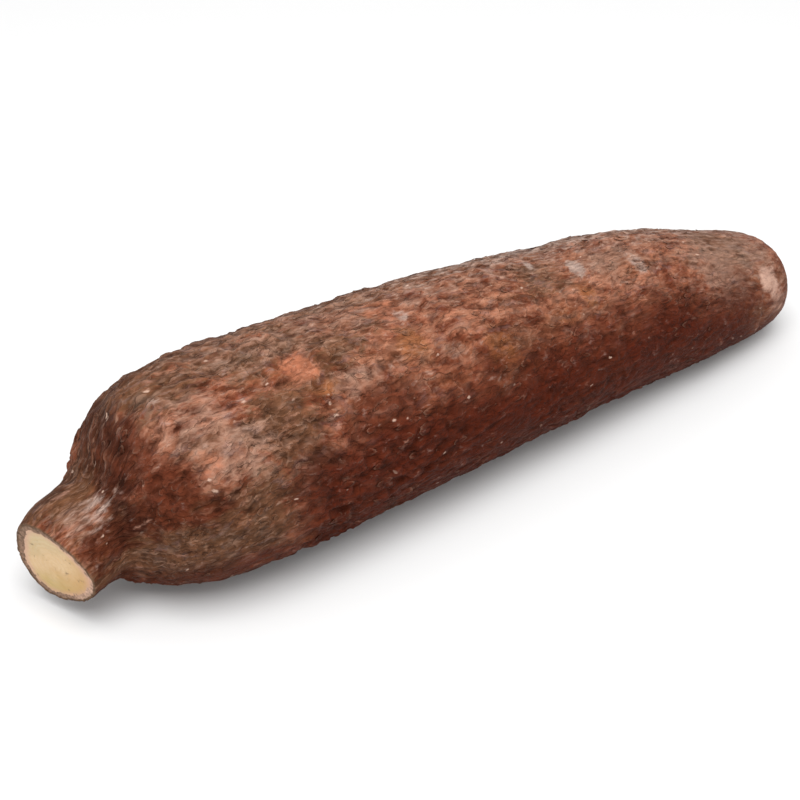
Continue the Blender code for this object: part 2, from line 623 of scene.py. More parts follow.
# the marks on the neck, the top and the front, each without its kind, from the neck to the tip
PATCHES = {
    Mark.DRY: (    # on the neck, the shoulder's top, the body and the tip
        (0.05, 116, 8, 7, 0.65), (0.15, 120, 12, 13, 0.55), (0.168, 142, 13, 10, 0.6),
        (0.325, 128, 8, 6, 0.6), (0.445, 132, 4, 3, 0.5), (0.7, 104, 20, 9, 0.6), (0.86, 130, 16, 16, 0.7),
        (0.93, 120, 11, 14, 0.6),
    ),
    Mark.WAX: (
        (0.058, 116, 6, 6, 0.4), (0.068, 117, 3, 4, 0.6), (0.13, 97, 2, 3, 0.4), (0.412, 103, 2, 3, 0.6),
        (0.605, 92, 2, 3, 0.7), (0.655, 106, 3.5, 5, 0.75), (0.735, 117, 3.5, 4, 0.7),
    ),
    Mark.OCHRE: (
        (0.048, 162, 8, 5, 0.3), (0.052, 86, 8, 5, 0.45), (0.285, 127, 5, 4, 0.6), (0.402, 121, 5, 6, 0.7),
        (0.505, 141, 6, 7, 0.8), (0.6, 136, 9, 4, 0.4), (0.645, 128, 4, 5, 0.8),
    ),
    Mark.RED: (    # beside the neck, up the shoulder's front, and low along the body as painted cast shadow
        (0.055, 156, 10, 7, 0.8), (0.096, 112, 6, 18, 0.7), (0.108, 147, 7, 10, 1), (0.124, 160, 9, 5, 0.7),
        # the first three here lie low along the body: painted cast shadow
        (0.34, 150, 16, 9, 0.6), (0.52, 170, 44, 15, 0.6), (0.73, 166, 26, 13, 0.6), (0.885, 148, 5, 5, 0.35),
    ),
    Mark.SOIL_AND_SHADE: (    # painted shade in the crease behind the neck and up the shoulder, and low beside the neck and past the shoulder
        (0.05, 166, 10, 5, 0.4), (0.077, 100, 3.2, 22, 0.75), (0.078, 152, 4, 6, 0.5),
        (0.094, 74, 5, 12, 0.8), (0.104, 50, 6, 12, 0.8), (0.24, 164, 12, 6, 0.55),
    ),
    Mark.DULL: (
        (0.048, 72, 10, 9, 0.9), (0.055, 192, 14, 12, 1), (0.115, 182, 28, 17, 1), (0.14, 92, 14, 12, 0.7),
        (0.19, 164, 14, 12, 0.7), (0.225, 103, 10, 8, 0.6), (0.225, 140, 14, 13, 0.8),
        (0.235, 92, 24, 9, 0.7), (0.32, 108, 10, 10, 0.8), (0.378, 100, 6, 6, 0.6), (0.6, 104, 12, 9, 0.6),
        (0.88, 106, 16, 14, 0.7),
    ),
    Mark.SCUFF: (
        (0.121, 128, 3, 4, 0.4), (0.145, 141, 3.5, 4, 0.5), (0.2, 113, 4, 3.5, 0.3),
        (0.274, 111, 5.5, 5.5, 0.9), (0.395, 96, 6, 6, 0.7), (0.835, 108, 6, 5, 0.3),
    ),
    Mark.TAN: (
        (0.12, 112, 5, 9, 0.6), (0.44, 116, 40, 10, 0.4), (0.66, 120, 40, 11, 0.5),
    ),
    Mark.SCAR: (
        (0.936, 154, 5, 6, 0.7), (0.958, 182, 6, 7, 0.35),
    ),
}


@dataclass
class Bark:
    """The root's skin, closed behind the cut: the smooth form with the bark's relief on it.

    The relief is worked out in grain coordinates: the distance along the root, and the place round it on
    a cylinder whose radius follows the root's own only part of the way, so that the sheets are narrower on
    the neck and the tip, where the root has swelled less. Slow noise sways them, as the bark's grain does.
    """

    form: RootForm
    inset_mm: float = 0.05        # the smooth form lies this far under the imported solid
    crowded_mm: float = 0.40      # and this much further where it nears the box's sides
    margin_mm: float = 0.20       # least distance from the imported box's sides, past the neck
    grain_radius_mm: float = 32.0
    sway: Noise = Noise(30.0, 30.0, 2, 20, 3.2)        # how the grain strays from a straight course
    warp: Noise = Noise(6.0, 6.0, 3, 40)               # and how the edges of the sheets do
    warp_mm: tuple = (1.8, 1.2, 1.2)
    lumps: Noise = Noise(26.0, 26.0, 2, 5, 0.50)
    bumps: Noise = Noise(8.0, 8.0, 2, 9, 0.30)
    knobs: Noise = Noise(5.0, 2.6, 2, 140)
    pebbles: Noise = Noise(2.8, 2.8, 2, 160, 0.55)
    sheets: Noise = Noise(17.0, 7.5, 2, 100)           # its contours are the edges of the bark's sheets
    flakes: Noise = Noise(7.5, 3.4, 2, 200)
    wrinkles: Noise = Noise(15.0, 1.7, 2, 60)
    loose: Noise = Noise(16.0, 16.0, 2, 77)            # where the sheets stand up most
    mottle: Noise = Noise(9.0, 3.5, 3, 330, 0.5)
    spots: Noise = Noise(4.5, 3.6, 2, 350, 1.1)        # the shoulder's own mottling
    ragged: Noise = Noise(6.0, 6.0, 3, 301)            # breaks the edges of the marks
    drift: Noise = Noise(36.0, 18.0, 2, 303, 0.26)     # and of the underside's painted shade
    wander: Noise = Noise(11.0, 11.0, 2, 88, 2.2)      # how the crease strays
    wood_edge: Noise = Noise(2.6, 2.6, 3, 410, 0.018)
    chips: Noise = Noise(2.2, 2.2, 3, 420, 0.20)
    sheet_edge: tuple = (2.2, 0.30, 0.55)  # contours to the unit, the share of a rise, and the height in mm
    flake_edge: tuple = (1.8, 0.35, 0.42)
    wrinkle_high_mm: float = 0.36
    rubbed_deep_mm: float = 0.14
    blur_cells: float = 2.2                # painted light and shade: what is higher than its surroundings, blurred by this much, ...
    pale_mm: float = 0.35                  # ... is palest at this height
    crease_mm: tuple = (22.5, 1.6, 0.55)   # where the neck meets the shoulder: place, width and depth
    scar_mm: tuple = (257.0, 0.9, 0.45)    # and the lip of the scar where the tail broke off
    scar_lean_mm: float = 6.0
    random_patches: int = 34      # marks on the sides that no named patch covers
    rim_shares: tuple = (0.995, 0.975, 0.95, 0.92, 0.89, 0.86, 0.83, 0.80, 0.76, 0.72, 0.5)
    rim_depths_mm: tuple = (-0.10, -0.16, -0.12, -0.06, -0.02, 0.0, 0.05, 0.10, 0.2, 0.9, 1.2)
    seed: int = 20

    def build(self) -> Piece:
        """Makes the skin's mesh.

        Returns:
            The piece.
        """
        form = self.form
        self.young = smoothstep(0.80, 0.95, form.share)    # the skin near the tip, which lies smooth
        self.grain_mm = self._grain()
        self.marks = self._marks()
        relief, self.tone = self._relief()
        skin = form.points + form.normals * (relief - self._inset())[..., None] * MM
        skin[-1] = skin[-1].mean(0)
        self.skin = inside_box(skin, self.margin_mm * smoothstep(0.0, 8.0, form.along_mm)[:, None])
        rim = self._rim()
        pole_in = form.cut_centre - form.cut_out * self.rim_depths_mm[-1] * MM
        points, faces = closed_tube(np.concatenate([rim, self.skin[:-1]]), [pole_in, self.skin[-1, 0]])
        return mesh_object("root_bark", points, faces, self._channels(len(rim)))

    def _grain(self) -> Array:
        """Works out the grain coordinates.

        Returns:
            Those of every point, in millimetres.
        """
        swell = self.grain_radius_mm * np.sqrt(self.form.radius_mm / self.grain_radius_mm)[:, None]
        angle = self.form.angle[None, :]
        round_way = [swell * np.cos(angle), swell * np.sin(angle)]
        place = np.stack(np.broadcast_arrays(self.form.along_mm[:, None], *round_way), axis=-1)
        return place + self.sway.shifts(place, 5)

    def _inset(self) -> Array:
        """How far the smooth form is sunk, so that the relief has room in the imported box.

        It is sunk further near the box's sides and top, and not at all where the root lies on the ground.

        Returns:
            The depth in millimetres.
        """
        over, under = (self.form.points - LOW) / MM, (HIGH - self.form.points) / MM
        room = np.minimum(np.minimum(over[..., 1], under[..., 1]), under[..., 2])
        sunk = self.inset_mm + self.crowded_mm * smoothstep(1.2, 0.0, room)
        return sunk * smoothstep(0.0, 2.5, over[..., 2])

    def _marks(self) -> dict[Mark, Array]:
        """Works out the marks. A patch is an ellipse on the unrolled bark, and noise breaks its edge.

        Six marks also lie over a whole side. They fade out between two angles round the root, in degrees,
        between two shares of the way along it, or as it turns from facing up.

        Returns:
            How much of each kind there is at every point, from 0 to 1.
        """
        form, ragged = self.form, self.ragged.at(self.grain_mm)
        named = [Patch(mark, *sizes) for mark, group in PATCHES.items() for sizes in group]
        found = {mark: np.zeros(ragged.shape) for mark in Mark}
        for patch in named + self._far_patches():
            ahead = form.x_mm - patch.share * (HIGH[0] - LOW[0]) / MM
            beside = np.radians(form.turned_from(patch.degrees)) * form.radius_mm[:, None]
            reach = np.hypot(ahead / patch.long_mm, beside / patch.wide_mm)
            cover = patch.strength * smoothstep(1.50, 0.30, reach + 0.60 * ragged)
            found[patch.mark] = np.maximum(found[patch.mark], cover)

        turn, share, facing = np.degrees(form.angle), form.share, form.normals[..., 2]
        dust_and_sheen = 0.42 * smoothstep(0.15, 0.85, facing)    # dust, and a painted sheen, on what faces up
        # duller and greyer along the far top, where it faces up
        far_top_dulling = smoothstep(96, 70, turn) * smoothstep(0.30, 0.75, facing)
        # painted shade: darker and redder as the bark turns from facing up, over the low body and the
        # underside
        low = smoothstep(0.88, 0.10, facing + 0.16 * ragged + self.drift.at(self.grain_mm))
        body = smoothstep(0.18, 0.26, share) * smoothstep(0.95, 0.86, share)
        top = smoothstep(140, 118, turn) * smoothstep(70, 100, turn)
        # the far side under the top, which painted shade darkens
        back = smoothstep(74, 60, turn) * smoothstep(15, 45, turn)
        broad = {
            Mark.DRY: dust_and_sheen * smoothstep(122, 92, turn) * smoothstep(0.10, 0.22, share),
            Mark.TAN: 0.30 * top * smoothstep(0.20, 0.34, share),
            Mark.WAX: dust_and_sheen * smoothstep(108, 66, turn) * smoothstep(0.25, 0.62, share),
            Mark.DULL: far_top_dulling * (0.85 - 0.22 * smoothstep(0.08, 0.30, share)),
            Mark.SOIL_AND_SHADE: 0.50 * back * smoothstep(0.97, 0.85, share),
            Mark.UNDERSIDE_SHADE: low * np.maximum(body, 0.05 + 0.75 * smoothstep(-0.20, -0.55, facing)),
        }
        for mark, cover in broad.items():
            found[mark] = np.maximum(found[mark], cover)
        return found

    def _far_patches(self) -> list[Patch]:
        """Random marks on the back and the underside.

        Returns:
            Patches of the kinds that the front has.
        """
        dice = np.random.default_rng(self.seed)
        kinds = (Mark.SCUFF, Mark.OCHRE, Mark.TAN, Mark.DRY, Mark.DULL, Mark.DULL, Mark.RED, Mark.RED)
        ranges = ((0.09, 0.93), (200, 405), (5, 18), (4, 10), (0.4, 1.0))
        return [Patch(kinds[dice.integers(len(kinds))], *(dice.uniform(*span) for span in ranges))
                for _ in range(self.random_patches)]

    def _relief(self) -> tuple[Array, Array]:
        """Adds up slow lumps, knobs, sheets of two sizes and wrinkles.

        The sheets' edges are the contours of noise drawn out along the root, and the wrinkles are ridged
        noise drawn out further. Knobs and pebbles stand highest on the shoulder. The tone is painted shade in
        the hollows and painted light on what stands out, over random mottling.

        Returns:
            The bark's height over the smooth form, in millimetres, and its tone from about -1 to 1: painted
            light and shade over random mottling.
        """
        place, share = self.grain_mm, self.form.share
        bent = place + self.warp.shifts(place, 7) * np.array(self.warp_mm)
        loose = 0.5 + 0.6 * smoothstep(-0.5, 0.5, self.loose.at(place))
        folds = (1 - np.abs(self.wrinkles.at(bent))) ** 2 - 0.5
        wrinkled, rubbed, tail = self._wrinkled(), self.marks[Mark.SCUFF], self.young
        rough = loose * (1 - 0.6 * rubbed) * (1 - 0.7 * tail) * (1 - 0.7 * wrinkled)
        shoulder = smoothstep(0.06, 0.09, share) * smoothstep(0.50, 0.25, share)
        height = (self.lumps.at(place) + self.bumps.at(place)) * (1 - 0.4 * tail)
        height -= self.rubbed_deep_mm * rubbed + self._features()
        for layer, (steps, rise, high_mm) in ((self.sheets, self.sheet_edge), (self.flakes, self.flake_edge)):
            height += rough * high_mm * shingles(layer.at(bent), steps, rise)
        height += rough * (0.60 + 0.70 * shoulder) * self.knobs.at(bent)
        height += shoulder * (1 - 0.6 * wrinkled) * self.pebbles.at(bent)
        height += self.wrinkle_high_mm * folds * (0.20 + 0.60 * wrinkled) * (1 - 0.6 * tail)
        # painted light and shade: paler where the relief stands out, darker in its hollows
        relief_light_and_shade = np.clip((height - softened(height, self.blur_cells)) / self.pale_mm, -0.9, 1.1)
        relief_light_and_shade *= 1 - 0.5 * smoothstep(0.09, 0.06, share)
        tone = self.mottle.at(bent) + 0.7 * relief_light_and_shade + shoulder * self.spots.at(bent)
        return height, tone

    def _wrinkled(self) -> Array:
        """Where long wrinkles take the place of sheets: low on the shoulder's front, and along the neck.

        Returns:
            How wrinkled each point is, from 0 to 1.
        """
        x_mm, turn = self.form.x_mm, np.degrees(self.form.angle)[None, :]
        low_side = smoothstep(158, 180, turn) * smoothstep(250, 225, turn)
        shoulder = smoothstep(18, 26, x_mm) * smoothstep(74, 52, x_mm)
        return np.clip(low_side * shoulder + 0.5 * smoothstep(24, 16, x_mm), 0, 1)

    def _features(self) -> Array:
        """Hollows that grew in one place: the crease behind the neck, and under the lip of the tail's scar.

        Each is a bell curve of the distance from its own line, and the scar's line leans round the front.

        Returns:
            Their depth in millimetres.
        """
        wander = self.wander.at(self.grain_mm)
        at_mm, wide_mm, deep_mm = self.crease_mm
        crease = deep_mm * bell(self.form.along_mm[:, None] - at_mm + wander, wide_mm)
        facing = np.cos(np.radians(self.form.turned_from(172)))[None, :]
        at_mm, wide_mm, deep_mm = self.scar_mm
        line_mm = at_mm + self.scar_lean_mm * (1 - facing) - 0.6 * wander
        lip = deep_mm * bell(self.form.x_mm - line_mm, wide_mm)
        return crease + lip * smoothstep(0.55, 0.9, facing)

    def wood_share(self) -> Array:
        """How far out the pale wood reaches, as a share of the rim: least at the upper far side."""
        thick = 0.115 * bell(self.form.turned_from(28), 34)
        return 0.925 - thick + self.wood_edge.at(self.grain_mm[0])

    def _rim(self) -> Array:
        """Rows from inside the cut out to its edge, which stands a little proud and is chipped.

        Returns:
            Points by row and column.
        """
        centre, out = self.form.cut_centre, self.form.cut_out
        edge = self.skin[0] - centre
        self.edge = edge - (edge @ out)[:, None] * out
        share, depth_mm = np.array(self.rim_shares)[::-1, None], np.array(self.rim_depths_mm)[::-1, None]
        chipped = self.chips.at(self.grain_mm[0]) * smoothstep(0.80, 0.95, share)
        sunk = (depth_mm + chipped - 0.1)[..., None] * MM
        return inside_box(centre + self.edge * share[..., None] - out * sunk)

    def _channels(self, rim_rows: int) -> dict[str, Array]:
        """Makes the skin's point attributes.

        The rim's grain runs on from the edge's: the way in towards the cut's middle counts as the way along.

        Args:
            rim_rows: how many rows the rim has.

        Returns:
            The attributes, with the rim's rows before the skin's and a pole at each end.
        """
        columns = self.form.columns
        rim_share = np.array(self.rim_shares[::-1])

        def spread(values: Array) -> Array:
            """Repeats the first row for the rim, and adds a pole at each end."""
            rows = np.concatenate([np.repeat(values[:1], rim_rows, axis=0), values[:-1]])
            flat = rows.reshape(-1, *values.shape[2:])
            return np.concatenate([flat, flat[:1], flat[-1:]])

        channels = {mark.value: spread(cover) for mark, cover in self.marks.items()}
        grain = spread(self.grain_mm)
        grain[:rim_rows * columns, 0] -= np.repeat(3 * (1 - rim_share) * self.form.radius_mm[0], columns)
        channels.update(grain=grain * MM, tone=spread(self.tone), young=spread(self.young))
        inner = np.zeros(len(grain))
        inner[:rim_rows * columns] = 1.0
        inner[(rim_rows - 1) * columns:rim_rows * columns] = 0.6
        inner[-2] = 1.0
        cortex = np.zeros(len(grain))
        pale = 0.25 + 0.75 * bell(self.form.turned_from(195), 55)
        cortex[:rim_rows * columns] = np.outer(smoothstep(0.955, 0.915, rim_share), pale).ravel()
        channels.update(inner=inner, cortex=cortex)
        return channels


@dataclass
class LiftedFlakes:
    """Paper-thin scraps of bark that have come loose at one end and curl up.

    Each is a thin closed leaf: a small grid laid on the skin, with rounded ends, that leaves the skin as
    the square of the distance from its fixed end, and a second grid under it.
    """

    bark: Bark
    most: int = 1100
    tries_each: int = 12          # places that are tried for each flake
    bare_rows: tuple = (14, 22)   # of the skin, at the neck's end and at the tip's
    rows: int = 6
    columns: int = 4
    long_mm: tuple = (1.6, 6.5)   # before each is shortened by up to a half
    wide_share: tuple = (0.28, 0.60)
    curl_mm: tuple = (0.10, 0.50)
    bend: tuple = (-0.35, 0.35)   # sideways, as a share of the width
    narrowing: float = 0.78       # towards the ends
    ragged: float = 0.30
    thickness_mm: float = 0.10
    sunk_mm: float = 0.10         # of the fixed end, under the skin
    clumps: Noise = Noise(13.0, 13.0, 2, 500)
    seed: int = 5

    def build(self) -> Piece:
        """Makes all the flakes as one mesh. On the shoulder they are shorter, rounder and flatter.

        Returns:
            The piece.
        """
        row, column, shoulder = self._places()
        count, form = len(row), self.bark.form
        dice = np.random.default_rng(self.seed + 1)
        long_mm = dice.uniform(*self.long_mm, count) * dice.uniform(0.5, 1, count)
        long_mm = long_mm * (1 - 0.45 * shoulder)
        wide_mm = long_mm * (dice.uniform(*self.wide_share, count) + 0.30 * shoulder)
        fixed = np.where(dice.random(count) < 0.5, -1.0, 1.0)
        curl_mm = dice.uniform(*self.curl_mm, count) * (0.8 - 0.3 * shoulder)
        sway = dice.uniform(*self.bend, count)
        shaped = (long_mm, wide_mm, fixed, curl_mm, sway)
        long_mm, wide_mm, fixed, curl_mm, sway = (each[:, None, None] for each in shaped)

        u = np.linspace(-1, 1, self.rows)[None, :, None]
        v = np.linspace(-1, 1, self.columns)[None, None, :]
        outline = 1 - self.narrowing * np.abs(u) ** 2.6
        outline = outline * (1 + self.ragged * dice.uniform(-1, 1, (count, self.rows, 1)))
        ahead_mm = long_mm / 2 * (u + 0.10 * dice.uniform(-1, 1, (count, 1, self.columns)))
        beside_mm = wide_mm / 2 * (v * outline + sway * u ** 2)
        free = (1 + u * fixed) / 2
        lift_mm = curl_mm * free ** 2 + 0.10 * curl_mm * v ** 2 - self.sunk_mm

        step_mm = form.along_mm[1] - form.along_mm[0]
        round_mm = TURN * form.radius_mm[np.round(row).astype(int)] / form.columns
        at = (row[:, None, None] + ahead_mm / step_mm,
              column[:, None, None] + beside_mm / round_mm[:, None, None])
        ground, out = self._read(self.bark.skin, *at), unit(self._read(form.normals, *at))
        layers_mm = (lift_mm + self.thickness_mm, lift_mm)
        points = np.stack([ground + out * layer[..., None] * MM for layer in layers_mm], axis=1)
        points = inside_box(points, np.array([0.0, self.thickness_mm])[:, None, None])

        edge = np.maximum(np.abs(u), np.abs(v)) * np.ones_like(lift_mm)
        channels = {mark.value: self._read(cover[..., None], *at)[..., 0]
                    for mark, cover in self.bark.marks.items()}
        channels["grain"] = self._read(self.bark.grain_mm, *at) * MM
        channels["tone"] = dice.uniform(-0.8, 1.0, count)[:, None, None] * np.ones_like(lift_mm)
        # the pale rim at the free end: partly dried edge, partly painted highlight
        channels["rim"] = smoothstep(0.60, 1.0, edge) * smoothstep(0.4, 1.0, free)
        for name, values in channels.items():
            both = np.stack([values, values], axis=1)
            channels[name] = both.reshape(-1, *values.shape[3:])
        return mesh_object("bark_flakes", points.reshape(-1, 3), [self._faces(count)], channels)

    def _places(self) -> tuple[Array, Array, Array]:
        """Chooses where the flakes are: anywhere but on rubbed places, the scar and the underside.

        Returns:
            Each flake's row and column on the skin, and how far it is on the shoulder, from 0 to 1.
        """
        dice = np.random.default_rng(self.seed)
        form, marks = self.bark.form, self.bark.marks
        tries = self.most * self.tries_each
        row = dice.uniform(self.bare_rows[0], form.rows - self.bare_rows[1], tries)
        column = dice.uniform(0, form.columns, tries)
        at = (row.astype(int), column.astype(int) % form.columns)
        clump = smoothstep(-0.2, 0.5, self.clumps.at(self.bark.grain_mm[at]))
        share = form.share[at]
        shoulder = smoothstep(0.05, 0.07, share) * smoothstep(0.26, 0.16, share)
        crowd = (0.10 + 0.55 * clump + 0.15 * shoulder) * (1 - 0.85 * self.bark.young[at])
        crowd *= smoothstep(0.003, 0.007, form.points[at][:, 2] - LOW[2])
        for mark, keeps_off in {Mark.SCUFF: 1.0, Mark.SCAR: 1.0, Mark.SOIL_AND_SHADE: 0.9, Mark.UNDERSIDE_SHADE: 0.5}.items():
            crowd *= 1 - keeps_off * marks[mark][at]
        wanted = dice.random(tries) < crowd
        even = form.radius_mm[at[0]] / form.radius_mm.max() > dice.random(tries)
        chosen = np.flatnonzero(wanted & even)[:self.most]
        return row[chosen], column[chosen], shoulder[chosen]

    @staticmethod
    def _read(grid: Array, rows: Array, columns: Array) -> Array:
        """Reads a grid between its points, by straight lines both ways, closing round the root.

        Args:
            grid: vectors by row and column.
            rows: where it is read, in rows.
            columns: and in columns.

        Returns:
            A vector for each place.
        """
        rows = np.clip(rows, 0, grid.shape[0] - 1.001)
        i, j = np.floor(rows).astype(int), np.floor(columns).astype(int)
        a, b = (rows - i)[..., None], (columns - j)[..., None]
        j, beside = j % grid.shape[1], (j + 1) % grid.shape[1]
        low, high = (grid[k, j] * (1 - b) + grid[k, beside] * b for k in (i, i + 1))
        return low * (1 - a) + high * a

    def _faces(self, count: int) -> Array:
        """The faces of every leaf: its top, its underside turned over, and a wall round its edge.

        Args:
            count: how many leaves there are.

        Returns:
            Four point numbers for each face.
        """
        size = self.rows * self.columns
        top = grid_faces(self.rows, self.columns, around=False)
        numbers = np.arange(size).reshape(self.rows, self.columns)
        loop = np.concatenate([numbers[0, :-1], numbers[:-1, -1], numbers[-1, :0:-1], numbers[:0:-1, 0]])
        ahead = np.roll(loop, -1)
        wall = np.stack([ahead, loop, loop + size, ahead + size], axis=-1)
        leaf = np.concatenate([top, top[:, ::-1] + size, wall])
        return (leaf + 2 * size * np.arange(count)[:, None, None]).reshape(-1, 4)


@dataclass
class CutWood:
    """The pale wood of the cut neck: a closed plug set in the bark's rim, faintly ridged by the knife."""

    bark: Bark
    rings: int = 46
    proud_mm: float = 0.06        # of the rim's inner edge
    deep_mm: float = 0.8
    ring_mm: tuple = (1.7, 0.035)     # between growth rings, and how high they are
    knife_mm: tuple = (1.1, 0.030)    # between the knife's ridges, and how high they are
    worn_mm: float = 0.25             # how far the plug's edge is rounded over
    wander: Noise = Noise(4.0, 4.0, 3, 620)         # sways the rings and the ridges
    wave_mm: float = 0.12                           # and lifts the face by up to this much
    fibre: Noise = Noise(0.8, 0.8, 2, 630, 0.05)

    def build(self) -> Piece:
        """Makes the plug's mesh. The rings and the ridges are cosines of the distance, swayed by noise.

        Returns:
            The piece.
        """
        centre, out = self.bark.form.cut_centre, self.bark.form.cut_out
        edge = self.bark.edge * self.bark.wood_share()[:, None]
        share = np.linspace(0, 1, self.rings + 1)[:0:-1, None]
        flat = edge[None] * share[..., None]
        side = unit(np.cross([0.0, 0.0, 1.0], out))
        x_mm, y_mm = flat @ side / MM, flat @ np.cross(out, side) / MM
        place = np.stack([x_mm, y_mm, np.zeros_like(x_mm)], axis=-1)
        wander = self.wander.at(place)
        height_mm = self.proud_mm + self.fibre.at(place) + self.wave_mm * wander
        waves = ((np.hypot(x_mm, y_mm) + 0.7 * wander, self.ring_mm),
                 (0.8 * x_mm + 0.6 * y_mm + 0.8 * wander, self.knife_mm))
        for distance_mm, (apart_mm, high_mm) in waves:
            height_mm += high_mm * np.cos(TURN * distance_mm / apart_mm)
        height_mm -= self.worn_mm * smoothstep(0.95, 1.0, share)
        face = centre + flat + out * height_mm[..., None] * MM
        below = centre - out * self.deep_mm * MM
        poles = [below, face[-1].mean(0)]
        points, faces = closed_tube(np.concatenate([(below + edge)[None], face]), poles, -1)
        outward = share * np.ones_like(x_mm)
        channels = {
            "disc": np.concatenate([place[0], place.reshape(-1, 3), np.zeros((2, 3))]) * MM,
            "outward": np.concatenate([outward[0], outward.ravel(), [1.0, 0.0]]),
        }
        return mesh_object("cut_wood", points, faces, channels)


# ---- finishes


BARK_NOISES = {
    "blotch": Noise(24.0, 12.0, 3),
    "ochre_blotch": Noise(24.0, 12.0, 3, 7.3),
    "red_blotch": Noise(24.0, 12.0, 3, 15.1),
    "mottle": Noise(6.5, 3.2, 4),
    "grey": Noise(6.5, 3.2, 3, 11.9),
    "lilac": Noise(6.5, 3.2, 3, 17.3),
    "ridge": Noise(4.2, 2.0, 2.5),
    "curl": Noise(4.0, 1.5, 1.5, 21.7),
    "gap": Noise(5.0, 1.9, 1.5, 30.3),
    "fibre": Noise(2.9, 0.95, 3),
    "grit": Noise(0.70, 0.45, 2),    # coarser than real bark's grit, so that it shows
}


